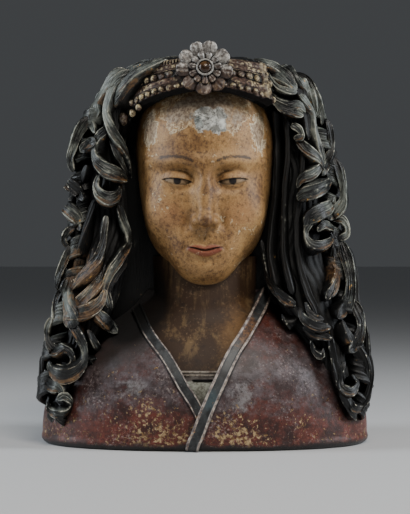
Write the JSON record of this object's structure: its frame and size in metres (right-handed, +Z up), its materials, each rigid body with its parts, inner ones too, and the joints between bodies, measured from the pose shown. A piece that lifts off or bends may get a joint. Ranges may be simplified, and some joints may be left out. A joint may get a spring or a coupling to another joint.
{
  "type": "reliquary bust",
  "caption": "Carved and painted wooden bust with corkscrew curls, a beaded diadem with a rosette, and a robe with a V-shaped collar, cut flat below to stand by its own weight.",
  "frame": {"origin": "the middle of the flat underside, in the plane of the bust's ears", "axes": "-Y is the front that the face looks to, +X the viewer's right, +Z up"},
  "size_m": [0.3335, 0.2088, 0.386],
  "materials": {
    "painted_wood": "carved wood under old paint, worn to the ground and to bare wood on the edges",
    "painted_hair": "black and blue-grey paint, satin, worn to brown wood and ochre on the ridges",
    "painted_flesh": "darkened flesh paint under old varnish, with cream losses",
    "painted_robe": "dull dark red paint with ochre and cream losses",
    "painted_dress": "grey-green paint, worn",
    "gilded_diadem": "worn gilding and cream ground over red-brown"
  },
  "bodies": {
    "root": {"bust": "painted_wood"}
  },
  "joints": []
}
